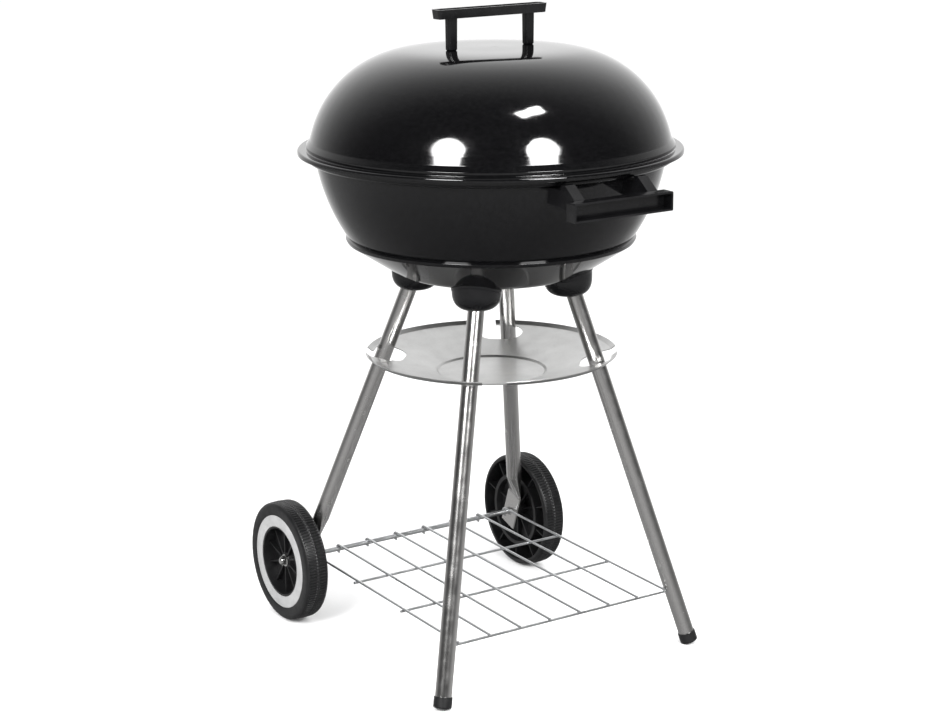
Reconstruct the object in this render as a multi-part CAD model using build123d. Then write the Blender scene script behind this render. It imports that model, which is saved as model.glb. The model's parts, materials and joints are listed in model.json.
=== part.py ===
from build123d import *
from math import asin, atan2, cos, degrees, hypot, radians, sin, sqrt
import os

# Kettle charcoal grill, in millimetres.
# The origin is on the floor under the kettle's centre line, and +Z is up.
# X runs along the axle. The wheels are at +Y (back), the feet and the side handle at -Y (front).

# ---------- driving dimensions ----------
CONTACT = 0.05              # gap between pieces that touch inside one body
RUNNING = 0.4               # gap between pieces that move past each other
SHEET = 1.5                 # enamelled steel of the bowl and the lid
SCREW_R = 3.0
SCREW_HOLE_R = 3.2
REACH = 500.0               # longer than any piece, for finding its far edge
ARC_STEPS = 7               # points along a rounded stretch

# bowl
BOWL_ARC_R = 225.0          # side wall arc, in section
BOWL_ARC_CENTRE = (-22.5, 616.0)
BOWL_TOP_Z = 585.4          # where the side wall meets the rolled rim
BOWL_ROLL_R = 6.0
BOWL_STEP_Z = 491.0         # pressed step above the cone
BOWL_STEP = ((167.3, 488.8), (165.6, 485.0))
BOWL_FLAT_R = 104.0         # where the cone's line meets the floor's
BOWL_FLOOR_Z = 445.5
BOWL_VENTS = (30.0, 11.0)   # pitch radius and hole radius
BOWL_DAMPER_R = 50.0
DAMPER_T = 1.2
DAMPER_TAB = (12.0, 9.0)    # width and height
DAMPER_TAB_TURN = 57.0      # degrees from +X
RIVET_R = 3.0
VENT_COUNT = 3

# lid
LID_RIM_R = 220.0
LID_LIP_Z = 587.5
LID_FLANGE_Z = 592.2
LID_WALL_RUN = 9.6          # length of the flared wall below the shoulder
LID_STEP = ((209.8, 596.8), (209.6, 592.4))
SHOULDER_CENTRE = (82.5, 577.7)
SHOULDER_R = 125.3
CROWN_TILT = 1.5            # degrees from level, where the crown meets the shoulder
SHOULDER_END = 16.0         # degrees above level, where the shoulder meets the flared wall
SEAT_TILT = 32.0            # degrees from vertical of the damper seat's normal, towards the back
SEAT_SINK = 2.6
SEAT_R = 29.0
LID_DAMPER_R = 26.5
LID_VENTS = (15.0, 5.5)

# handles
LID_POST = (52.0, 13.0, 11.0)           # distance from the centre, width and depth
LID_BAR = (147.0, 18.0, 10.5)
BAR_DRAFT = 8.0  # degrees the lid bar and its tray widen upwards
LID_BAR_TOP_Z = 750.0
SIDE_BAR = (130.0, 14.8, 21.0)
SIDE_BAR_AT = (-244.9, 559.5)           # y and z of its middle
SIDE_ARM = (48.0, 13.0)                 # distance from the centre and thickness
SIDE_HOLE_DEPTH = 18.0
SIDE_SCREW_Z = 571.0
HANDLE_WALL = 2.2

# legs: a centre line is x = X0 - XS z and y = Y0 - YS z, mirrored left and right
LEG_R = 9.5
LEG_WALL = 1.3
FRONT_LEG = (175.2, 0.254, -159.4, -0.211)
BACK_LEG = (174.8, 0.252, 200.9, 0.309)
LEG_TOP_Z = 432.0
SOCKET_R = 29.0
SOCKET_AT = (62.8, 64.2, 446.0)
SOCKET_BOTTOM_Z = 420.5
FOOT = (10.4, 12.7, 3.0)                # radius, length and floor thickness
FOOT_END_Z = 1.75
STRIP = (28.0, 4.0)                     # width and thickness of a back leg's flattened end
STRIP_TOP = (151.5, 172.5, 100.0)
STRIP_SLOPE = 0.35
STRIP_L = 46.0
LEG_BEND_Z = 130.0

# wheels and axle
WHEEL_R = 73.3
WHEEL_W = 29.1
WHEEL_X = 174.15
AXLE_Y = 186.5
AXLE_R = 3.0
AXLE_END_X = 185.0
RIM_R = 57.3                # outer edge of the trim ring
DISH_R = 43.6               # inner edge of the trim ring
BARREL_R = 47.0             # outside of the hub, inside of the tyre
BOSS_R = 10.0
HUB_RIBS = 10
WASHER = (7.5, 1.2)         # radius and thickness

# wire shelf
WIRE_R = 1.5
SHELF_WIRES = 8
SHELF_W = 291.2
SHELF_BAR = (-145.5, 66.0)  # y and z of the front bar
SHELF_BAR_END_X = 152.0
SHELF_OVERHANG = 3.4
CROSS_WIRE_Y = (73.4, -31.6)

# ash catcher
ASH_SHEET = 1.0
ASH_SECTION = ((146.9, 351.5), (141.8, 347.2), (65.0, 328.0), (62.0, 326.0), (0.0, 326.0))
ASH_BEND = 2.0
ASH_HOLE = (54.0, 36.0)
ASH_HOLE_R = 121.5
ASH_HOLE_TURN = 4.0         # degrees round from the leg to the middle of its hole
ASH_NECK_TURN = 12.5        # degrees round from the leg to the middle of the neck
ASH_NECK_W = 27.0

# grates
GRATE_WIRE_R = 1.8
GRATE_RING_R = 2.6
GRATE_BAR_R = 2.3
COOKING_GRATE = (185.0, 570.0, 15.5)    # ring radius, height and spacing of the wires
CHARCOAL_GRATE = (155.0, 483.7, 19.0)
GRATE_HANDLE = (60.0, 16.0)
WELD_RISE = 0.9             # how far wires sit off the middle of what they are welded to
BRACKET = (14.0, 14.0, 2.0)             # width, reach and thickness
BRACKET_DROP = 16.0

AXLE_AT = Vector(0, AXLE_Y, WHEEL_R)
SIDES = (("left", -1), ("right", 1))


# ---------- helpers ----------
def rod(start, end, radius):
    """A solid round bar between two points."""
    a, b = Vector(start), Vector(end)
    return extrude(Plane(a, z_dir=b - a) * Circle(radius), (b - a).length)


def tube(start, end, radius, wall):
    a, b = Vector(start), Vector(end)
    section = Circle(radius) - Circle(radius - wall)
    return extrude(Plane(a, z_dir=b - a) * section, (b - a).length)


def turned(section):
    """A section drawn as radius and height, turned once round +Z."""
    return revolve(Plane.XZ * section, Axis.Z, 360)


def punch(sketch, plane, depth):
    """A sketch on a plane as a solid that reaches the same depth to both sides of it."""
    return extrude(plane.offset(-depth) * sketch, 2 * depth)


def arc_curve(centre, radius, start, end, lead=()):
    """A smooth curve clockwise along an arc between two angles, after an optional run of leading points."""
    turns = [radians(start + (end - start) * i / ARC_STEPS) for i in range(ARC_STEPS + 1)]
    points = [(centre[0] + radius * cos(turn), centre[1] + radius * sin(turn)) for turn in turns]
    first = (1, 0) if lead else (sin(turns[0]), -cos(turns[0]))
    return Spline(*lead, *points, tangents=[first, (sin(turns[-1]), -cos(turns[-1]))])


def band(outer, inner):
    """The section between two curves that run the same way."""
    return make_face([outer, Line(outer @ 1, inner @ 1), inner, Line(inner @ 0, outer @ 0)])


def sheet(path, thickness):
    """The section of a sheet that lies on the right of a path."""
    return make_face(offset(path, amount=thickness, side=Side.RIGHT))


def polar(radius, turn):
    return radius * cos(radians(turn)), radius * sin(radians(turn))


def edge_towards(body, direction):
    """The body's circular edge that lies farthest along a direction."""
    return body.edges().filter_by(GeomType.CIRCLE).sort_by_distance(Vector(direction) * REACH * 10)[0]


def write(name, *shapes):
    solids = [solid for shape in shapes for solid in shape.solids()]
    whole = solids[0] if len(solids) == 1 else Compound(children=solids)
    whole.label = name
    export_step(whole, f"parts/{name}.step")


def screw(head_at, direction, shank_l, head_r=5.5, head_h=3.2):
    """A round-headed screw. head_at is the underside of the head, and the shank runs along direction."""
    seat = Plane(Vector(head_at), z_dir=Vector(direction))
    shank = extrude(seat * Circle(SCREW_R), shank_l)
    head = extrude(seat * Circle(head_r), -head_h)
    slot = seat * (Pos(0, 0, -head_h) * Box(head_r * 3, 1.2, 2.2))
    return shank + fillet(edge_towards(head, seat.z_dir * -1), 1.5) - slot


# ---------- bowl ----------
def bowl_wall_r(z, inset=0.0):
    """Radius of the side wall at a height, on its outer face or inset from it."""
    return BOWL_ARC_CENTRE[0] + sqrt((BOWL_ARC_R - inset) ** 2 - (z - BOWL_ARC_CENTRE[1]) ** 2)


def bowl_wall(inset, high, low):
    """The side wall's curve between two heights, inset from its outer face."""
    start, end = [degrees(asin((z - BOWL_ARC_CENTRE[1]) / BOWL_ARC_R)) for z in (high, low)]
    return arc_curve(BOWL_ARC_CENTRE, BOWL_ARC_R - inset, start, end)


def bowl_base():
    """The outer face of the step, the cone and the floor, from the side wall to the axis."""
    start = (bowl_wall_r(BOWL_STEP_Z), BOWL_STEP_Z)
    corner = (BOWL_FLAT_R, BOWL_FLOOR_Z)
    return FilletPolyline(start, *BOWL_STEP, corner, (0, BOWL_FLOOR_Z), radius=(0.8, 1.6, 45.0))


def bowl_envelope():
    """The bowl as a filled body, a contact gap larger than its outer face."""
    wall = bowl_wall(-CONTACT, BOWL_TOP_Z, BOWL_STEP_Z)
    filled = make_face([wall, Line(wall @ 1, (0, BOWL_STEP_Z)), Line((0, BOWL_STEP_Z), (0, BOWL_TOP_Z)),
                        Line((0, BOWL_TOP_Z), wall @ 0)])
    base = bowl_base()
    closing = [Line((0, BOWL_FLOOR_Z), (0, BOWL_STEP_Z)), Line((0, BOWL_STEP_Z), base @ 0)]
    below = Pos(0, -1.2 * CONTACT) * make_face([*base.edges(), *closing])
    return turned(filled) + turned(below)


def socket_corners():
    return [(sx * SOCKET_AT[0], sy * SOCKET_AT[1]) for sx in (-1, 1) for sy in (-1, 1)]


def side_screw_seat_y():
    """Where a side handle screw's head clears the curved wall."""
    inner = bowl_wall_r(SIDE_SCREW_Z, SHEET) - RUNNING
    return -sqrt(inner**2 - (SIDE_ARM[0] + SIDE_ARM[1] / 2) ** 2)


def make_bowl():
    wall_end_z = BOWL_STEP_Z - 1.0
    wall = band(bowl_wall(0, BOWL_TOP_Z, wall_end_z), bowl_wall(SHEET, BOWL_TOP_Z, wall_end_z))
    roll_at = Pos(bowl_wall_r(BOWL_TOP_Z) + BOWL_ROLL_R - SHEET + 0.1, BOWL_TOP_Z)
    roll = roll_at * (Circle(BOWL_ROLL_R) - Circle(BOWL_ROLL_R - SHEET))
    bowl = turned(wall + sheet(bowl_base(), SHEET) + roll)
    vents = PolarLocations(BOWL_VENTS[0], VENT_COUNT) * Circle(BOWL_VENTS[1])
    holes = Sketch() + vents + Circle(RIVET_R + CONTACT)
    holes += [Pos(x, y) * Circle(SCREW_HOLE_R) for x, y in socket_corners()]
    bowl -= punch(holes, bowl_damper_seat(), 8)
    for _, side in SIDES:
        x = side * SIDE_ARM[0]
        bowl -= rod((x, -180, SIDE_SCREW_Z), (x, -210, SIDE_SCREW_Z), SCREW_HOLE_R)
    return bowl


def grate_bracket(turn):
    """A bent steel tab inside the wall. The cooking grate rests on it."""
    width, reach, thickness = BRACKET
    top_z = COOKING_GRATE[1] - GRATE_RING_R - RUNNING
    wall_r = bowl_wall_r(top_z, SHEET)
    shelf = Pos(wall_r - reach / 2, 0, top_z - thickness / 2) * Box(reach + 8, width, thickness)
    stem = Pos(wall_r - thickness, 0, top_z - BRACKET_DROP / 2) * Box(2 * thickness + 6, width, BRACKET_DROP)
    low, high = top_z - BRACKET_DROP - 2, top_z + 4
    face = bowl_wall(SHEET + CONTACT, high, low)
    room = turned(band(face, Line((wall_r - 2 * reach, high), (wall_r - 2 * reach, low))))
    plate = turned(band(face, bowl_wall(SHEET + CONTACT + thickness, high, low)))
    return Rot(0, 0, turn) * ((shelf & room) + (stem & plate))


# ---------- dampers ----------
def damper(radius, vents, tab_turn):
    """A flat disc with vent holes and one turned-up tab. Its underside is at z = 0."""
    disc = Circle(radius) - Circle(RIVET_R + CONTACT)
    disc -= PolarLocations(vents[0], VENT_COUNT) * Circle(vents[1])
    width, height = DAMPER_TAB
    tab = Pos(radius - DAMPER_T, 0, height / 2) * Box(DAMPER_T, width, height)
    return extrude(disc, DAMPER_T) + Rot(0, 0, tab_turn) * tab


def rivet(grip, head_r):
    """A rivet whose shank starts at z = 0, with a head beyond each end."""
    head_h = 1.6
    head = Cylinder(head_r, head_h)
    heads = Pos(0, 0, -head_h / 2) * head + Pos(0, 0, grip + head_h / 2) * head
    return Pos(0, 0, grip / 2) * Cylinder(RIVET_R, grip) + heads


def bowl_damper_seat():
    """The floor's underside, looking down."""
    return Plane((0, 0, BOWL_FLOOR_Z), x_dir=(1, 0, 0), z_dir=(0, 0, -1))


def lid_damper_seat():
    """The pressed flat on the back of the lid, looking out."""
    tilt = radians(SEAT_TILT)
    y = SHOULDER_CENTRE[0] + (SHOULDER_R - SEAT_SINK) * sin(tilt)
    z = SHOULDER_CENTRE[1] + (SHOULDER_R - SEAT_SINK) * cos(tilt)
    return Plane((0, y, z), x_dir=(1, 0, 0), z_dir=(0, sin(tilt), cos(tilt)))


def damper_pair(seat, radius, vents, tab_turn, head_r):
    """A damper and its rivet on a seat of sheet."""
    disc = seat * (Pos(0, 0, RUNNING) * damper(radius, vents, tab_turn))
    grip = SHEET + 2 * RUNNING + DAMPER_T
    pin = seat * (Pos(0, 0, -SHEET - CONTACT) * rivet(grip + CONTACT, head_r))
    return disc, pin


# ---------- lid ----------
def lid_dome(inset):
    """The crown and the shoulder, inset from their outer face."""
    half = SHOULDER_CENTRE[0] / 2
    lead = [(radius, lid_top_z(radius) - inset) for radius in (0, half)]
    return arc_curve(SHOULDER_CENTRE, SHOULDER_R - inset, 90 - CROWN_TILT, SHOULDER_END, lead)


def lid_skirt():
    """The outer face of the flared wall, the step and the lip."""
    dome = lid_dome(0)
    wall_end = dome @ 1 + (dome % 1) * LID_WALL_RUN
    corners = (dome @ 1, wall_end, *LID_STEP, (LID_RIM_R, LID_FLANGE_Z), (LID_RIM_R, LID_LIP_Z))
    return FilletPolyline(*corners, radius=(3.0, 1.0, 0.9, 2.4))


def lid_top_z(radius):
    """Height of the crown's outer face."""
    tilt = radians(CROWN_TILT)
    join_r = SHOULDER_CENTRE[0] + SHOULDER_R * sin(tilt)
    crown_r = join_r / sin(tilt)
    return SHOULDER_CENTRE[1] + SHOULDER_R * cos(tilt) + sqrt(crown_r**2 - radius**2) - crown_r * cos(tilt)


def make_lid():
    lid = turned(band(lid_dome(0), lid_dome(SHEET)) + sheet(lid_skirt(), SHEET))
    seat = lid_damper_seat()
    pad = extrude(seat * (Pos(0, 0, -SHEET) * Circle(SEAT_R)), SHEET + SEAT_SINK + 6)
    middle = lid_dome(SHEET / 2)
    foot = (0, (middle @ 1).Y)
    lid += pad & turned(make_face([middle, Line(middle @ 1, foot), Line(foot, middle @ 0)]))
    lid -= extrude(seat * Circle(SEAT_R - SHEET), 12)
    vents = PolarLocations(LID_VENTS[0], VENT_COUNT) * Circle(LID_VENTS[1])
    lid -= punch(Sketch() + vents + Circle(RIVET_R + CONTACT), seat, 5)
    for _, side in SIDES:
        lid -= Pos(side * LID_POST[0], 0, lid_top_z(0)) * Cylinder(SCREW_HOLE_R, 10)
    return lid


def make_lid_handle():
    x, width, depth = LID_POST
    length, bar_w, bar_h = LID_BAR
    foot_z = lid_top_z(x) + 0.15
    bar_z = LID_BAR_TOP_Z - bar_h
    bar_foot = RectangleRounded(length - 3, bar_w - 3, 2.5)
    tray_foot = RectangleRounded(length - 7, bar_w - 6.5, 1.5)
    bar = Pos(0, 0, bar_z) * extrude(bar_foot, bar_h, taper=-BAR_DRAFT)
    tray = Pos(0, 0, bar_z + HANDLE_WALL) * extrude(tray_foot, bar_h, taper=-BAR_DRAFT)
    handle = bar - tray
    for _, side in SIDES:
        post = extrude(RectangleRounded(width - 1.5, depth - 1.5, 2.5), bar_z + 1 - foot_z, taper=-0.6)
        post = chamfer(post.faces().sort_by(Axis.Z)[0].edges(), 1.2)
        handle += Pos(side * x, 0, foot_z) * post
    for _, side in SIDES:
        handle -= Pos(side * x, 0, foot_z + 6) * Cylinder(SCREW_R + CONTACT, 13)
    return handle


def make_lid_screws():
    head_z = lid_top_z(LID_POST[0]) - SHEET - 0.1
    return [screw((side * LID_POST[0], 0, head_z), (0, 0, 1), 13.5) for _, side in SIDES]


# ---------- side handle ----------
def make_side_handle():
    length, depth, height = SIDE_BAR
    y, z = SIDE_BAR_AT
    bar = Pos(0, y, z) * Box(length, depth, height)
    bar = fillet(bar.edges().filter_by(Axis.Y), 1.5)
    back_y = y + depth / 2
    front_y = y - depth / 2
    opening = (length - 2 * HANDLE_WALL, height - 2 * HANDLE_WALL)
    tray = Plane((0, front_y, z), x_dir=(1, 0, 0), z_dir=(0, 1, 0)) * Rectangle(*opening)
    handle = bar - extrude(tray, depth - HANDLE_WALL, taper=3)
    arm_side = Polyline(
        (-184, 561), (-184, 577.5), (-213, 577.5), (-213, 583.5), (-220, 583.5),
        (back_y, z + height / 2), (back_y, z - height / 2 + 7), close=True,
    )
    thickness = SIDE_ARM[1]
    for _, side in SIDES:
        arm = Pos(side * SIDE_ARM[0] - thickness / 2) * extrude(Plane.YZ * make_face(arm_side), thickness)
        handle += fillet(arm.edges().filter_by(Axis.X), 1.0)
    handle -= bowl_envelope()
    for _, side in SIDES:
        x = side * SIDE_ARM[0]
        hole_end_y = side_screw_seat_y() - SIDE_HOLE_DEPTH
        handle -= rod((x, -180, SIDE_SCREW_Z), (x, hole_end_y, SIDE_SCREW_Z), SCREW_R + CONTACT)
    return handle


def make_side_screws():
    y = side_screw_seat_y()
    return [screw((side * SIDE_ARM[0], y, SIDE_SCREW_Z), (0, -1, 0), 17.5) for _, side in SIDES]


# ---------- legs ----------
def leg_point(leg, side, z):
    """A point on a leg's centre line."""
    x0, x_slope, y0, y_slope = leg
    return Vector(side * (x0 - x_slope * z), y0 - y_slope * z, z)


def leg_down(leg, side):
    return (leg_point(leg, side, 0) - leg_point(leg, side, 100)).normalized()


def make_socket(leg, side):
    """A cup that hangs from the bowl's floor and takes the top of a leg."""
    sy = -1 if leg is FRONT_LEG else 1
    x, y, z = side * SOCKET_AT[0], sy * SOCKET_AT[1], SOCKET_AT[2]
    cup = Pos(x, y, z) * Sphere(SOCKET_R)
    cup -= Pos(x, y, SOCKET_BOTTOM_Z - 20) * Box(100, 100, 40)
    cup -= bowl_envelope()
    cup -= Pos(x, y, BOWL_FLOOR_Z + 20) * Box(100, 100, 40)
    top = leg_point(leg, side, LEG_TOP_Z)
    cup -= rod(top + leg_down(leg, side) * 60, top - leg_down(leg, side) * CONTACT, LEG_R + CONTACT)
    return cup - Pos(x, y, BOWL_FLOOR_Z) * Cylinder(SCREW_R + CONTACT, 20)


def make_socket_screws():
    head_z = BOWL_FLOOR_Z + SHEET + RUNNING
    return [screw((x, y, head_z), (0, 0, -1), 10.5) for x, y in socket_corners()]


def make_front_leg(side):
    top = leg_point(FRONT_LEG, side, LEG_TOP_Z)
    end = foot_end(side) - leg_down(FRONT_LEG, side) * (FOOT[2] + CONTACT)
    leg = tube(end, top, LEG_R, LEG_WALL)
    y, z = SHELF_BAR
    inner_x = leg_point(FRONT_LEG, side, z).X - side * (LEG_R + 4)
    return leg - rod((inner_x, y, z), (side * SHELF_BAR_END_X, y, z), WIRE_R + CONTACT)


def foot_end(side):
    return leg_point(FRONT_LEG, side, FOOT_END_Z)


def make_foot(side):
    """A plastic cap on a front leg, trimmed flat where it stands on the floor."""
    radius, length, floor_t = FOOT
    up = leg_down(FRONT_LEG, side) * -1
    base = Plane(foot_end(side), z_dir=up)
    cap = extrude(base * Circle(radius), length)
    cap = fillet(edge_towards(cap, up * -1), 2.0)
    cap -= extrude(Plane(base.origin + up * floor_t, z_dir=up) * Circle(LEG_R + CONTACT), length)
    return cap - Pos(base.origin.X, base.origin.Y, -25) * Box(80, 80, 50)


def make_back_leg(side):
    """A round tube whose lower end is pressed flat, bent upright and drilled for the axle."""
    top = leg_point(BACK_LEG, side, LEG_TOP_Z)
    bend = leg_point(BACK_LEG, side, LEG_BEND_Z)
    leg = tube(bend, top, LEG_R, LEG_WALL)
    x, y, z = STRIP_TOP
    down = Vector(0, STRIP_SLOPE, -1).normalized()
    across = Vector(0, 1, STRIP_SLOPE).normalized()
    strip_at = Plane((side * x, y, z), x_dir=across, z_dir=down)
    width, thickness = STRIP
    round_end = Plane(bend, x_dir=across, z_dir=leg_down(BACK_LEG, side)) * Circle(LEG_R)
    flat_end = strip_at * Ellipse(width / 2, thickness / 2 + 0.2)
    neck = loft([round_end.face(), flat_end.face()])
    strip = extrude(strip_at * RectangleRounded(width, thickness, thickness / 2 - 0.2), STRIP_L)
    reach = 9
    bore = rod(AXLE_AT + Vector(side * (x - reach), 0, 0), AXLE_AT + Vector(side * (x + reach), 0, 0), AXLE_R + CONTACT)
    return leg + neck + strip - bore


# ---------- wheels and axle ----------
def wheel_turned(section, side):
    """A section drawn as distance outwards and radius, turned round the axle on one side."""
    shape = revolve(section, Axis.X, 360)
    shape = shape if side > 0 else mirror(shape, about=Plane.YZ)
    return Pos(side * WHEEL_X, AXLE_Y, WHEEL_R) * shape


def make_tyre(side):
    half = WHEEL_W / 2
    seat = half - 1.2
    tread = Spline((-half, 62), (-half + 2.6, 70.4), (0, WHEEL_R), (half - 2.6, 70.4), (half, 62))
    walls = Polyline(
        (half, 62), (half, RIM_R + CONTACT), (seat, RIM_R + CONTACT), (seat, BARREL_R + CONTACT),
        (-half + 1, BARREL_R + CONTACT), (-half, 52), (-half, 62),
    )
    return wheel_turned(make_face([tread, *walls.edges()]), side)


def make_trim_ring(side):
    half = WHEEL_W / 2
    seat = half - 1.2 + CONTACT
    edge = ThreePointArc((half - 0.5, RIM_R), (half - 0.05, (RIM_R + DISH_R) / 2), (half - 0.5, DISH_R))
    sides = Polyline((half - 0.5, DISH_R), (seat, DISH_R), (seat, RIM_R), (half - 0.5, RIM_R))
    return wheel_turned(make_face([edge, *sides.edges()]), side)


def hub_span():
    """Inner and outer ends of the hub's boss, from the wheel's middle plane."""
    strip_out = STRIP_TOP[0] + STRIP[1] / 2
    inner = strip_out + CONTACT + WASHER[1] + RUNNING - WHEEL_X
    return inner, 5.0


def make_hub(side):
    half = WHEEL_W / 2
    inner, outer = hub_span()
    bore = AXLE_R + CONTACT
    web = Polyline(
        (inner, bore), (outer, bore), (outer, BOSS_R), (1.6, BOSS_R + 1), (-1.4, DISH_R - 3.6),
        (half - 1.2, DISH_R - 2.4), (half - 1.2, BARREL_R), (-half + 1.2, BARREL_R),
        (-half + 1.2, DISH_R - 1.6), (-4.4, DISH_R - 2.6), (-1.4, BOSS_R + 1), (inner, BOSS_R), close=True,
    )
    hub = wheel_turned(make_face(web), side)
    rib_l = DISH_R - 3.0 - BOSS_R + 2
    rib = Pos(side * (WHEEL_X - 1.4), 0, BOSS_R + rib_l / 2 - 1) * Box(15, 1.8, rib_l)
    for turn in range(HUB_RIBS):
        hub += Pos(0, AXLE_Y, WHEEL_R) * Rot(360 / HUB_RIBS * turn, 0, 0) * rib
    return hub


def axle_ring(side, start, outer_r, length):
    """A ring on the axle from a distance along it."""
    section = Circle(outer_r) - Circle(AXLE_R + CONTACT)
    base = Plane(AXLE_AT + Vector(side * start, 0, 0), z_dir=(side, 0, 0))
    return extrude(base * section, length)


def outer_washer_x():
    return WHEEL_X + hub_span()[1] + RUNNING


def make_washers():
    radius, thickness = WASHER
    inner_x = STRIP_TOP[0] + STRIP[1] / 2 + CONTACT
    starts = (inner_x, outer_washer_x())
    return [axle_ring(side, start, radius, thickness) for _, side in SIDES for start in starts]


def make_axle_nut(side):
    """A domed cap nut."""
    start = outer_washer_x() + WASHER[1] + CONTACT
    base = Plane(AXLE_AT + Vector(side * start, 0, 0), z_dir=(side, 0, 0))
    hexagon = extrude(base * RegularPolygon(6.2, 6), 3.8)
    dome = extrude(base * Circle(4.9), 6.6)
    dome = fillet(edge_towards(dome, base.z_dir), 2.6)
    bore_end = (side * (AXLE_END_X + CONTACT), AXLE_Y, WHEEL_R)
    return hexagon + dome - rod(base.origin - base.z_dir, bore_end, AXLE_R + CONTACT)


def make_axle():
    return rod((-AXLE_END_X, AXLE_Y, WHEEL_R), (AXLE_END_X, AXLE_Y, WHEEL_R), AXLE_R)


# ---------- wire shelf ----------
def shelf_line():
    """Start, tangent point, slope in degrees and hook radius of a long wire, in the YZ plane."""
    hook_r = AXLE_R + WIRE_R + CONTACT
    start = Vector(SHELF_BAR[0] - 2.5, SHELF_BAR[1] + 2 * WIRE_R + CONTACT)
    across, rise = AXLE_Y - start.X, WHEEL_R - start.Y
    slope = degrees(atan2(rise, across) + asin(hook_r / hypot(across, rise)))
    touch = Vector(AXLE_Y, WHEEL_R) + Vector(*polar(hook_r, 90 + slope))
    return start, touch, slope, hook_r


def make_long_wires():
    start, touch, slope, hook_r = shelf_line()
    straight = Line(start, touch)
    hook = CenterArc((AXLE_Y, WHEEL_R), hook_r, 90 + slope, -185)
    path = Plane.YZ * (Curve() + [straight, hook])
    along = (0, cos(radians(slope)), sin(radians(slope)))
    section = Plane((0, start.X, start.Y), z_dir=along) * Circle(WIRE_R)
    wire = sweep(section, path=path)
    pitch = SHELF_W / (SHELF_WIRES - 1)
    return [Pos(-SHELF_W / 2 + pitch * i) * wire for i in range(SHELF_WIRES)]


def make_cross_wires():
    start, _, slope, _ = shelf_line()
    end_x = SHELF_W / 2 + SHELF_OVERHANG
    wires = []
    for y in CROSS_WIRE_Y:
        drop = (2 * WIRE_R + CONTACT) / cos(radians(slope))
        z = start.Y + (y - start.X) * sin(radians(slope)) / cos(radians(slope)) - drop
        wires.append(rod((-end_x, y, z), (end_x, y, z), WIRE_R))
    return wires


def make_front_bar():
    y, z = SHELF_BAR
    return rod((-SHELF_BAR_END_X, y, z), (SHELF_BAR_END_X, y, z), WIRE_R)


# ---------- ash catcher ----------
def make_ash_catcher():
    """A shallow dish with four keyhole openings. It drops down the splayed legs until they hold it."""
    rim_r = ASH_SECTION[0][0]
    dish = turned(sheet(FilletPolyline(*ASH_SECTION, radius=ASH_BEND), ASH_SHEET))
    openings = Sketch()
    for leg in (FRONT_LEG, BACK_LEG):
        for _, side in SIDES:
            at = leg_point(leg, side, ASH_SECTION[0][1])
            turn = degrees(atan2(at.Y, at.X))
            hole_turn, neck_turn = turn + ASH_HOLE_TURN, turn + ASH_NECK_TURN
            slot = Rot(0, 0, hole_turn + 90) * SlotOverall(*ASH_HOLE)
            openings += Pos(*polar(ASH_HOLE_R, hole_turn)) * slot
            neck_l = 2 * (rim_r - ASH_HOLE_R) + 10
            neck = Rot(0, 0, neck_turn) * Rectangle(neck_l, ASH_NECK_W)
            openings += Pos(*polar(rim_r, neck_turn)) * neck
    return dish - Pos(0, 0, 300) * extrude(openings, 80)


# ---------- grates ----------
def make_grate(ring_radius, z, spacing):
    """A wire ring with parallel wires welded across it and two stiffening bars under them."""
    grate = turned(Pos(ring_radius, z) * Circle(GRATE_RING_R))
    count = int((ring_radius - 6) // spacing)
    for i in range(-count, count + 1):
        x = i * spacing
        half = sqrt(ring_radius**2 - x**2)
        grate += rod((x, -half, z + WELD_RISE), (x, half, z + WELD_RISE), GRATE_WIRE_R)
    for y in (-0.45 * ring_radius, 0.45 * ring_radius):
        half = sqrt(ring_radius**2 - y**2)
        grate += rod((-half, y, z - WELD_RISE), (half, y, z - WELD_RISE), GRATE_BAR_R)
    return grate


def make_cooking_grate():
    """The grate the food lies on, with a wire handle at the front and at the back."""
    ring_radius, z, _ = COOKING_GRATE
    width, height = GRATE_HANDLE
    grate = make_grate(*COOKING_GRATE)
    y = sqrt(ring_radius**2 - (width / 2) ** 2) + WELD_RISE
    corners = [(-width / 2, z), (-width / 2, z + height), (width / 2, z + height), (width / 2, z)]
    loop = FilletPolyline(*corners, radius=6)
    for back in (-1, 1):
        path = Plane((0, back * y, 0), x_dir=(1, 0, 0), z_dir=(0, -1, 0)) * loop
        grate += sweep(Plane((-width / 2, back * y, z)) * Circle(GRATE_WIRE_R), path=path)
    return grate


# ---------- write every piece ----------
os.makedirs("parts", exist_ok=True)

write("bowl", make_bowl())
bowl_damper, bowl_rivet = damper_pair(bowl_damper_seat(), BOWL_DAMPER_R, BOWL_VENTS, -DAMPER_TAB_TURN, 6.5)
write("bowl_damper", bowl_damper)
write("bowl_damper_rivet", bowl_rivet)
write("grate_brackets", *[grate_bracket(turn) for turn in (45, 135, 225, 315)])
write("charcoal_grate", make_grate(*CHARCOAL_GRATE))
write("cooking_grate", make_cooking_grate())

write("lid", make_lid())
lid_damper, lid_rivet = damper_pair(lid_damper_seat(), LID_DAMPER_R, LID_VENTS, 90, 5.0)
write("lid_damper", lid_damper)
write("lid_damper_rivet", lid_rivet)
write("lid_handle", make_lid_handle())
write("lid_handle_screws", *make_lid_screws())

write("side_handle", make_side_handle())
write("side_handle_screws", *make_side_screws())

write("socket_screws", *make_socket_screws())
for side_name, side in SIDES:
    write(f"leg_socket_front_{side_name}", make_socket(FRONT_LEG, side))
    write(f"leg_socket_back_{side_name}", make_socket(BACK_LEG, side))
    write(f"front_leg_{side_name}", make_front_leg(side))
    write(f"back_leg_{side_name}", make_back_leg(side))
    write(f"foot_cap_{side_name}", make_foot(side))
    write(f"tyre_{side_name}", make_tyre(side))
    write(f"wheel_hub_{side_name}", make_hub(side))
    write(f"trim_ring_{side_name}", make_trim_ring(side))

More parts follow.
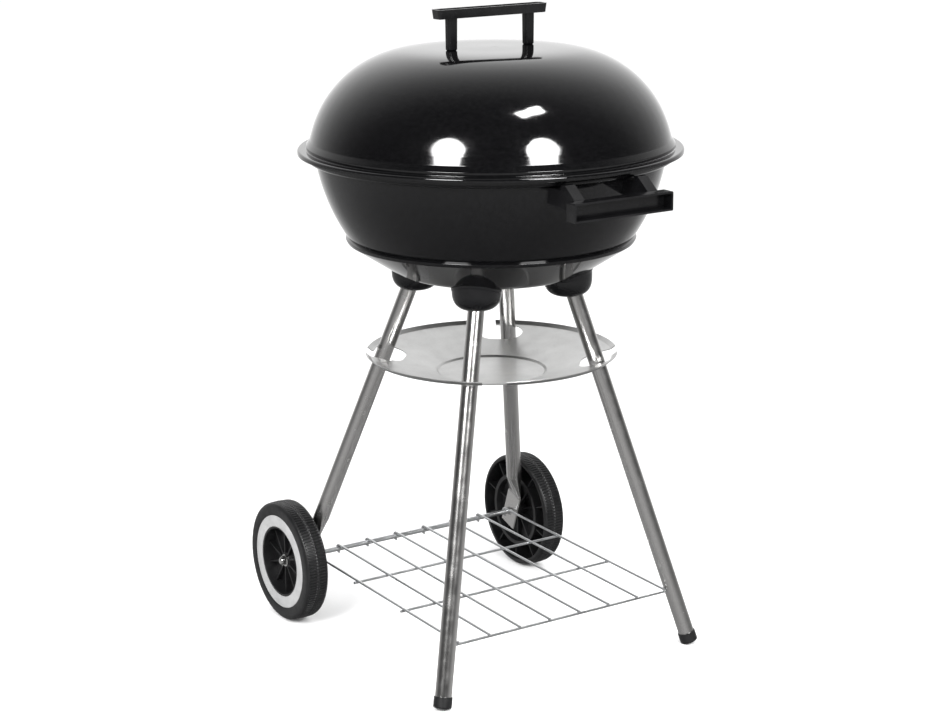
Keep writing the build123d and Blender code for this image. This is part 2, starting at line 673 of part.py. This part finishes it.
write("axle", make_axle())
write("axle_nuts", *[make_axle_nut(side) for _, side in SIDES])
write("axle_washers", *make_washers())
write("shelf_long_wires", *make_long_wires())
write("shelf_cross_wires", *make_cross_wires())
write("shelf_front_bar", make_front_bar())
write("ash_catcher", make_ash_catcher())
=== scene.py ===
import json
from math import cos, pi, radians, sin, sqrt, tau

import bmesh
import bpy
from mathutils import Matrix, Vector


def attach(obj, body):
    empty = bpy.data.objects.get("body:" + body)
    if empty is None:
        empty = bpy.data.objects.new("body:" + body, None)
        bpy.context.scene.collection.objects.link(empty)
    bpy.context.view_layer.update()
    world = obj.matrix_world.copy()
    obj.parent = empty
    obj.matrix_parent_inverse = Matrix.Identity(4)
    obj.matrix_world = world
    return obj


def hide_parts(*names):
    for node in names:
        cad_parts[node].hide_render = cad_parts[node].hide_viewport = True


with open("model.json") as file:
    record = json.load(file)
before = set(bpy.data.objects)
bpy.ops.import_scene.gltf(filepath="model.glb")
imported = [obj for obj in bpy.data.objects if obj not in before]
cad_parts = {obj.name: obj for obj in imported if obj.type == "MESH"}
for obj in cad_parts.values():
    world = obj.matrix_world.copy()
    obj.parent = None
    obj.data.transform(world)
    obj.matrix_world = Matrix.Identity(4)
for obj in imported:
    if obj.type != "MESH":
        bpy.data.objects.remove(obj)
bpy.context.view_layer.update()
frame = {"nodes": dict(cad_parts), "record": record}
nodes = frame["nodes"]
MM = 0.001
SIDES = (("left", -1), ("right", 1))
NOISE_LOW, NOISE_HIGH = 0.3, 0.7  # the part of a noise texture's range that is spread out


# ---------- materials ----------
def new_material(name, base, roughness, metallic=0.0, **sockets):
    """A material whose colour and roughness are steady until variation is added."""
    m = bpy.data.materials.new(name)
    m.use_nodes = True
    shader_in(m, "Base Color").default_value = (*base, 1)
    shader_in(m, "Roughness").default_value = roughness
    shader_in(m, "Metallic").default_value = metallic
    for socket, value in sockets.items():
        shader_in(m, socket.replace("_", " ")).default_value = value
    return m


def shader_in(m, socket):
    return m.node_tree.nodes["Principled BSDF"].inputs[socket]


def add(m, kind, **inputs):
    """A new node with its inputs set, given by their names with underscores for spaces."""
    node = m.node_tree.nodes.new(kind)
    for socket, value in inputs.items():
        node.inputs[socket.replace("_", " ")].default_value = value
    return node


def link(m, out, into):
    m.node_tree.links.new(out, into)


def coords(m, stretch=(1, 1, 1)):
    """Object-space coordinates, in metres, stretched by axis."""
    where = add(m, "ShaderNodeTexCoord")
    mapping = add(m, "ShaderNodeMapping", Scale=stretch)
    link(m, where.outputs["Object"], mapping.inputs["Vector"])
    return mapping.outputs["Vector"]


def noise(m, vector, scale, detail=3.0, roughness=0.55):
    n = add(m, "ShaderNodeTexNoise", Scale=scale, Detail=detail, Roughness=roughness)
    link(m, vector, n.inputs["Vector"])
    return n.outputs["Fac"]


def spread(m, value, low, high):
    """Maps a texture value onto a range of numbers."""
    limits = {"From_Min": NOISE_LOW, "From_Max": NOISE_HIGH, "To_Min": low, "To_Max": high}
    r = add(m, "ShaderNodeMapRange", **limits)
    link(m, value, r.inputs["Value"])
    return r.outputs["Result"]


def tint(m, value, dark, light):
    """A colour between two, by a texture value."""
    ramp = add(m, "ShaderNodeValToRGB")
    first, last = ramp.color_ramp.elements
    first.position, first.color = NOISE_LOW, (*dark, 1)
    last.position, last.color = NOISE_HIGH, (*light, 1)
    link(m, value, ramp.inputs["Fac"])
    return ramp.outputs["Color"]


def bump(m, height, distance, strength):
    b = add(m, "ShaderNodeBump", Strength=strength, Distance=distance)
    link(m, height, b.inputs["Height"])
    link(m, b.outputs["Normal"], shader_in(m, "Normal"))


def enamel():
    """Gloss porcelain enamel: a slow orange-peel ripple, faint dust and slight gloss variation."""
    m = new_material("enamel", (0.006, 0.006, 0.0065), 0.07, Specular_IOR_Level=0.55)
    place = coords(m)
    dust = tint(m, noise(m, place, 260, 4), (0.0015, 0.0015, 0.0017), (0.0035, 0.0035, 0.0038))
    link(m, dust, shader_in(m, "Base Color"))
    link(m, spread(m, noise(m, place, 45), 0.05, 0.10), shader_in(m, "Roughness"))
    bump(m, noise(m, place, 120, 2), 0.00002, 0.35)
    return m


def moulded(name, dark, light, rough, grain_scale=900, grain=0.00004):
    """Moulded plastic: fine spark-eroded grain with mottled gloss."""
    m = new_material(name, light, rough[1])
    place = coords(m)
    link(m, tint(m, noise(m, place, 70, 4), dark, light), shader_in(m, "Base Color"))
    link(m, spread(m, noise(m, place, 160), *rough), shader_in(m, "Roughness"))
    bump(m, noise(m, place, grain_scale, 2), grain, 0.5)
    return m


def drawn_metal(name, dark, light, rough, stretch, scale=260):
    """Metal with fine marks that run along the axes with the least stretch."""
    m = new_material(name, light, rough[0], metallic=1.0)
    marks = noise(m, coords(m, stretch), scale, 4, 0.65)
    link(m, tint(m, marks, dark, light), shader_in(m, "Base Color"))
    link(m, spread(m, noise(m, coords(m), 60), *rough), shader_in(m, "Roughness"))
    bump(m, marks, 0.00002, 0.5)
    return m


MATERIALS = {
    "enamel": enamel(),
    "damper_aluminium": drawn_metal(
        "damper_sheet", (0.50, 0.50, 0.51), (0.66, 0.66, 0.67), rough=(0.25, 0.4), stretch=(1, 12, 1)),
    "fastener_steel": drawn_metal(
        "fastener_zinc", (0.55, 0.55, 0.54), (0.78, 0.78, 0.77), rough=(0.12, 0.28), stretch=(3, 3, 3)),
    "grate_wire": drawn_metal(
        "grate_chrome", (0.62, 0.62, 0.63), (0.78, 0.78, 0.79), rough=(0.12, 0.24), stretch=(4, 1, 4)),
    "handle_plastic": moulded(
        "handle_plastic", (0.002, 0.002, 0.0023), (0.0045, 0.0045, 0.005), rough=(0.15, 0.24),
        grain=0.00001),
    "socket_plastic": moulded(
        "socket_plastic", (0.002, 0.002, 0.0024), (0.004, 0.004, 0.0045), rough=(0.05, 0.09),
        grain_scale=500, grain=0.000004),
    "leg_steel": drawn_metal(
        "leg_steel", (0.58, 0.57, 0.56), (0.74, 0.73, 0.72), rough=(0.18, 0.28),
        stretch=(30, 30, 2), scale=120),
    "foot_plastic": moulded(
        "foot_plastic", (0.004, 0.004, 0.0045), (0.008, 0.008, 0.0085), rough=(0.35, 0.5)),
    "zinc_wire": drawn_metal(
        "zinc_wire", (0.60, 0.61, 0.62), (0.76, 0.77, 0.78), rough=(0.26, 0.38), stretch=(6, 6, 6)),
    "plate_steel": drawn_metal(
        "plate_steel", (0.44, 0.44, 0.435), (0.54, 0.54, 0.535), rough=(0.30, 0.40),
        stretch=(1, 9, 1), scale=300),
    "tyre": moulded(
        "tyre", (0.004, 0.004, 0.0045), (0.009, 0.009, 0.0095), rough=(0.34, 0.48),
        grain_scale=1100, grain=0.00005),
    "hub_plastic": moulded(
        "hub_plastic", (0.005, 0.005, 0.0055), (0.010, 0.010, 0.0105), rough=(0.32, 0.46)),
    "trim_plastic": moulded(
        "trim_plastic", (0.29, 0.29, 0.29), (0.36, 0.36, 0.36), rough=(0.38, 0.5),
        grain_scale=700, grain=0.00002),
}
SLOT_OF = {s["node"]: s["material_slot"] for s in frame["record"]["subparts"]}


def dress(obj, slot):
    obj.data.materials.clear()
    obj.data.materials.append(MATERIALS[slot])


for node_name, node in nodes.items():
    dress(node, SLOT_OF[node_name])


# ---------- new pieces ----------
def mesh_object(name, verts, faces, slot, body, stands_for=(), sharp=40):
    """A smooth-shaded piece that rides on a body. Points are in millimetres, sharp is in degrees."""
    mesh = bpy.data.meshes.new(name)
    mesh.from_pydata([Vector(v) * MM for v in verts], [], faces)
    mesh.validate()
    bm = bmesh.new()
    bm.from_mesh(mesh)
    bmesh.ops.remove_doubles(bm, verts=bm.verts, dist=1e-7)
    bmesh.ops.recalc_face_normals(bm, faces=bm.faces)
    bm.to_mesh(mesh)
    bm.free()
    mesh.shade_smooth()
    mesh.set_sharp_from_angle(angle=radians(sharp))
    obj = bpy.data.objects.new(name, mesh)
    bpy.context.scene.collection.objects.link(obj)
    dress(obj, slot)
    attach(obj, body)
    if stands_for:
        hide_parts(*stands_for)


# ---------- camera ----------
CAMERA_AT = Vector((-1.39619, -2.07584, 0.99636))
CAMERA_YAW, CAMERA_PITCH, CAMERA_ROLL = radians(33.481), radians(14.620), radians(-0.373)
CAMERA_LENS, CAMERA_SENSOR = 83.91, 36


def aim(yaw, pitch, roll):
    """The turn of a camera that looks along +Y before it is turned right, tipped down and rolled."""
    ahead = Vector((sin(yaw) * cos(pitch), cos(yaw) * cos(pitch), -sin(pitch)))
    right = Vector((cos(yaw), -sin(yaw), 0))
    up = right.cross(ahead)
    tilted_right = cos(roll) * right + sin(roll) * up
    tilted_up = cos(roll) * up - sin(roll) * right
    return Matrix((tilted_right, tilted_up, -ahead)).transposed().to_4x4()


camera_data = bpy.data.cameras.new("camera")
camera_data.lens = CAMERA_LENS
camera_data.sensor_width = CAMERA_SENSOR
camera = bpy.data.objects.new("camera", camera_data)
camera.matrix_world = Matrix.Translation(CAMERA_AT) @ aim(CAMERA_YAW, CAMERA_PITCH, CAMERA_ROLL)
bpy.context.scene.collection.objects.link(camera)
bpy.context.scene.camera = camera

# ---------- studio ----------
SOFTBOX = {"distance": 2.6, "size": 1.0, "power": 75}
OVERHEAD = {"distance": 2.4, "size": 0.62, "depth": 0.3, "power": 26}
ROOM_STRENGTH = 2.0
BACKDROP_LEVEL = 0.55
BACKDROP_RUN, BACKDROP_RISE = 0.94, 0.33  # level and upward parts of the way to the backdrop
BEHIND = ((0.40, 0.006), (0.56, 0.015), (0.70, 0.12), (0.86, 0.36), (1.0, 0.75))
BELOW = ((0.46, 0.0), (0.54, 0.12), (0.63, 0.28), (0.76, 0.17), (0.88, 0.12), (1.0, 0.05))
FLOOR_HALF, FLOOR_DROP = 9, 0.0006


def softbox(name, target, direction, distance, size, power, depth=None):
    """A round light that shines from a direction onto a target, or an oblong one if it has a depth."""
    data = bpy.data.lights.new(name, "AREA")
    data.shape = "RECTANGLE" if depth else "DISK"
    data.size = size
    if depth:
        data.size_y = depth
    data.energy = power
    obj = bpy.data.objects.new(name, data)
    away = Vector(direction).normalized()
    obj.location = Vector(target) + away * distance
    obj.rotation_euler = away.to_track_quat("Z", "Y").to_euler()
    bpy.context.scene.collection.objects.link(obj)


softbox("softbox_left", (-0.146, -0.137, 0.619), (-0.782, -0.406, 0.472), **SOFTBOX)
softbox("softbox_right", (-0.062, -0.191, 0.618), (0.017, -0.893, 0.45), **SOFTBOX)
softbox("overhead", (-0.063, -0.169, 0.656), (0.106, -0.417, 0.903), **OVERHEAD)

world = bpy.data.worlds.new("studio")
bpy.context.scene.world = world
world.use_nodes = True
tree = world.node_tree


def world_node(kind, **settings):
    node = tree.nodes.new(kind)
    for name, value in settings.items():
        setattr(node, name, value)
    return node


def direction_share(way, direction):
    """How far a direction of the world leans towards a given one, from 0 to 1."""
    dot = world_node("ShaderNodeVectorMath", operation="DOT_PRODUCT")
    dot.inputs[1].default_value = direction
    tree.links.new(way, dot.inputs[0])
    unit = world_node("ShaderNodeMapRange")
    unit.inputs["From Min"].default_value = -1
    tree.links.new(dot.outputs["Value"], unit.inputs["Value"])
    return unit.outputs["Result"]


def grey(level):
    return (level, level, level, 1)


def grey_ramp(value, stops):
    """A smooth grey ramp through (position, level) stops."""
    ramp = world_node("ShaderNodeValToRGB")
    ramp.color_ramp.interpolation = "B_SPLINE"
    first, last = ramp.color_ramp.elements
    first.position, first.color = stops[0][0], grey(stops[0][1])
    last.position, last.color = stops[-1][0], grey(stops[-1][1])
    for position, level in stops[1:-1]:
        ramp.color_ramp.elements.new(position).color = grey(level)
    tree.links.new(value, ramp.inputs["Fac"])
    return ramp.outputs["Color"]


def brighter(first, second):
    """The brighter of two colours."""
    blend = world_node("ShaderNodeMixRGB", blend_type="LIGHTEN")
    blend.inputs["Fac"].default_value = 1
    tree.links.new(first, blend.inputs["Color1"])
    tree.links.new(second, blend.inputs["Color2"])
    return blend.outputs["Color"]


# Reflections see a room that is dark in front and overhead, pale behind and mid grey below.
# Everything else sees an even white backdrop. Levels are halves, because the strength doubles them.
backdrop_way = (sin(CAMERA_YAW) * BACKDROP_RUN, cos(CAMERA_YAW) * BACKDROP_RUN, BACKDROP_RISE)
way = tree.nodes.new("ShaderNodeTexCoord").outputs["Generated"]
behind = grey_ramp(direction_share(way, backdrop_way), BEHIND)
below = grey_ramp(direction_share(way, (0, 0, -1)), BELOW)
seen = tree.nodes.new("ShaderNodeLightPath")
pick = world_node("ShaderNodeMixRGB")
pick.inputs["Color1"].default_value = grey(BACKDROP_LEVEL)
tree.links.new(seen.outputs["Is Glossy Ray"], pick.inputs["Fac"])
tree.links.new(brighter(behind, below), pick.inputs["Color2"])
background = tree.nodes["Background"]
tree.links.new(pick.outputs["Color"], background.inputs["Color"])
background.inputs["Strength"].default_value = ROOM_STRENGTH


def floor_paint():
    m = new_material("floor_paint", (0.9, 0.9, 0.9), 0.9)
    mottle = tint(m, noise(m, coords(m), 3), (0.93, 0.93, 0.93), (0.96, 0.96, 0.96))
    link(m, mottle, shader_in(m, "Base Color"))
    return m


corners = [(x * FLOOR_HALF, y * FLOOR_HALF, 0) for x, y in ((-1, -1), (1, -1), (1, 1), (-1, 1))]
floor_mesh = bpy.data.meshes.new("floor")
floor_mesh.from_pydata(corners, [], [(0, 1, 2, 3)])
floor_mesh.materials.append(floor_paint())
floor = bpy.data.objects.new("floor", floor_mesh)
floor.location.z = -FLOOR_DROP
floor.visible_glossy = False  # reflections see the room's own mid grey below instead
bpy.context.scene.collection.objects.link(floor)
bpy.context.scene.view_settings.view_transform = "Standard"

# ---------- wheels ----------
# Across the wheel, x runs from its mid plane towards the outside of the grill.
AXLE_Y, AXLE_Z = 186.5, 73.3
WHEEL_X, WHEEL_HALF = 174.15, 14.55
TREAD_R, RIM_R, BARREL_R = 73.3, 57.3, 47.05
TREAD_INSET, TREAD_MARGIN = 0.2, 1.6
TREAD_STEPS = 22
CROWN_DROP, EDGE_DROP, EDGE_FROM = 0.9, 1.9, 0.72
PARTING_HALF, PARTING_RISE = 0.5, 0.175
GROOVES, GROOVE_DEPTH = 118, 1.3
GROOVE_FROM, GROOVE_TO = 0.30, 0.72  # part of the pitch that is cut away
STEPS_PER_GROOVE = 6
BAND_GAP, BAND_GAP_RAMP = 0.9, 0.7
BAND_MARGIN, BAND_MARGIN_RAMP = 2.6, 1.2
BACK_WALL = 4.0
RIBS, RIB_HALF = 10, 0.8


def clamp(value):
    return min(1.0, max(0.0, value))


def tread_r(x):
    """Radius of the crowned tread across the wheel's width."""
    share = abs(x) / WHEEL_HALF
    edge = max(0.0, (share - EDGE_FROM) / (1 - EDGE_FROM))
    return TREAD_R - TREAD_INSET - CROWN_DROP * share**2 - EDGE_DROP * edge**2


def groove_depth(x, pitches):
    """Depth of the cross grooves. The outer band is half a pitch out of step with the inner one."""
    phase = (pitches + (0.5 if x > 0 else 0.0)) % 1
    if not GROOVE_FROM < phase < GROOVE_TO:
        return 0.0
    outer_end = clamp((WHEEL_HALF - BAND_MARGIN - abs(x)) / BAND_MARGIN_RAMP)
    inner_end = clamp((abs(x) - BAND_GAP) / BAND_GAP_RAMP)
    return GROOVE_DEPTH * outer_end * inner_end


def tyre_walls():
    """The outer wall down to the barrel, then the open back up to the tread, as (x, radius) points."""
    half = WHEEL_HALF
    back = half - BACK_WALL
    outer_wall = [(half - 0.25, 69.4), (half, 67.6), (half, 58.4), (half - 0.35, RIM_R + 0.35),
                  (half - 1.2, RIM_R + 0.05), (half - 1.2, BARREL_R)]
    open_back = [(back, BARREL_R), (back, 63.2), (back - 0.8, 64.0), (-half + 0.5, 66.4), (-half, 66.9),
                 (-half, 68.2), (-half + 0.25, 69.4)]
    return outer_wall + open_back


def make_tyre(name, side):
    """A moulded tyre with two bands of fine cross grooves, a raised parting line and an open back."""
    reach = WHEEL_HALF - TREAD_MARGIN
    across = [-reach + 2 * reach * i / TREAD_STEPS for i in range(TREAD_STEPS + 1)]
    walls = tyre_walls()
    count = GROOVES * STEPS_PER_GROOVE
    n = len(across) + len(walls)
    verts = []
    for i in range(count):
        turn = tau * i / count
        tread = []
        for x in across:
            parting = PARTING_RISE if abs(x) < PARTING_HALF else 0.0
            tread.append((x, tread_r(x) + parting - groove_depth(x, i / STEPS_PER_GROOVE)))
        for x, r in tread + walls:
            verts.append((side * (WHEEL_X + x), AXLE_Y + r * cos(turn), AXLE_Z + r * sin(turn)))
    faces = []
    for i in range(count):
        here, there = i * n, (i + 1) % count * n
        faces += [(here + k, here + (k + 1) % n, there + (k + 1) % n, there + k) for k in range(n)]
    mesh_object(f"ribbed_tyre_{name}", verts, faces, "tyre", f"{name}_wheel", [f"tyre_{name}"], sharp=35)


def make_back_ribs(name, side):
    """Thin radial ribs that stiffen the open back of the wheel, between its barrel and its tread."""
    back_x, front_x = -WHEEL_HALF + 3.0, WHEEL_HALF - BACK_WALL + 0.5
    root_r = BARREL_R + 0.1
    outline = ((back_x, root_r), (back_x, 66.6), (front_x, 64.6), (front_x, root_r))
    verts, faces = [], []
    for i in range(RIBS):
        turn = tau * (i + 0.5) / RIBS
        out = Vector((0, cos(turn), sin(turn)))
        flat = Vector((0, -sin(turn), cos(turn)))
        first = len(verts)
        for x, r in outline:
            middle = Vector((side * (WHEEL_X + x), AXLE_Y, AXLE_Z)) + out * r
            verts += [middle - flat * RIB_HALF, middle + flat * RIB_HALF]
        corner_sets = ((0, 2, 4, 6), (1, 7, 5, 3), (0, 1, 3, 2), (2, 3, 5, 4), (4, 5, 7, 6), (6, 7, 1, 0))
        faces += [tuple(first + c for c in corner_set) for corner_set in corner_sets]
    mesh_object(f"tyre_back_ribs_{name}", verts, faces, "tyre", f"{name}_wheel")


for side_name, side in SIDES:
    make_tyre(side_name, side)
    make_back_ribs(side_name, side)

# ---------- leg sockets ----------
FLOOR_Z, CONE_FROM, CONE_SLOPE = 445.5, 104.0, 0.6412
BEND_R, BEND_START, BEND_END = 45.0, 90.8, 115.1
CUP_AT, CUP_MID_Z = (62.8, 64.2), 446.0
CUP_R, CUP_DEPTH, CUP_SQUARENESS = 28.3, 25.3, 2.9
LIP_DEPTH, LIP_STEP, LIP_RAMP = 3.2, 0.7, 0.6
CUP_GAP = 0.15
CUP_COLUMNS, CUP_ROWS, CUP_RINGS = 112, 34, 7
ROW_CROWDING = 1.5  # crowds the rows towards the cup's bottom


def bowl_floor_z(radius):
    """Height of the outside of the bowl's floor and cone at a distance from the kettle's centre line."""
    if radius < BEND_START:
        return FLOOR_Z
    if radius < BEND_END:
        return FLOOR_Z + BEND_R - sqrt(BEND_R**2 - (radius - BEND_START) ** 2)
    return FLOOR_Z + (radius - CONE_FROM) * CONE_SLOPE


def cup_r(z):
    """Radius of the cup's full-bellied wall."""
    share = clamp((CUP_MID_Z - z) / CUP_DEPTH)
    return CUP_R * (1 - share**CUP_SQUARENESS) ** (1 / CUP_SQUARENESS)


def make_cup(name, sx, sy):
    """A socket cup whose lipped top follows the bowl's underside."""
    centre = Vector((sx * CUP_AT[0], sy * CUP_AT[1], 0))
    low = CUP_MID_Z - CUP_DEPTH
    lip_r = CUP_R + LIP_STEP
    n = CUP_ROWS + CUP_RINGS - 1
    verts = []
    for i in range(CUP_COLUMNS):
        turn = tau * i / CUP_COLUMNS
        out = Vector((cos(turn), sin(turn), 0))
        top = bowl_floor_z((centre + out * lip_r).length) - CUP_GAP
        for k in range(CUP_ROWS):
            z = low + (top - low) * sin(k / (CUP_ROWS - 1) * pi / 2) ** ROW_CROWDING
            lip = LIP_STEP * clamp((LIP_DEPTH - (top - z)) / LIP_RAMP)
            verts.append(centre + out * (cup_r(z) + lip) + Vector((0, 0, z)))
        for k in range(1, CUP_RINGS):
            inwards = centre + out * lip_r * (1 - k / CUP_RINGS)
            verts.append(inwards + Vector((0, 0, bowl_floor_z(inwards.length) - CUP_GAP)))
    faces = [tuple(i * n + n - 1 for i in range(CUP_COLUMNS))]
    for i in range(CUP_COLUMNS):
        here, there = i * n, (i + 1) % CUP_COLUMNS * n
        faces += [(here + k, there + k, there + k + 1, here + k + 1) for k in range(n - 1)]
    stands_for = [f"leg_socket_{name}"]
    mesh_object(f"socket_cup_{name}", verts, faces, "socket_plastic", "stand", stands_for, sharp=50)


for side_name, side in SIDES:
    make_cup(f"front_{side_name}", side, -1)
    make_cup(f"back_{side_name}", side, 1)
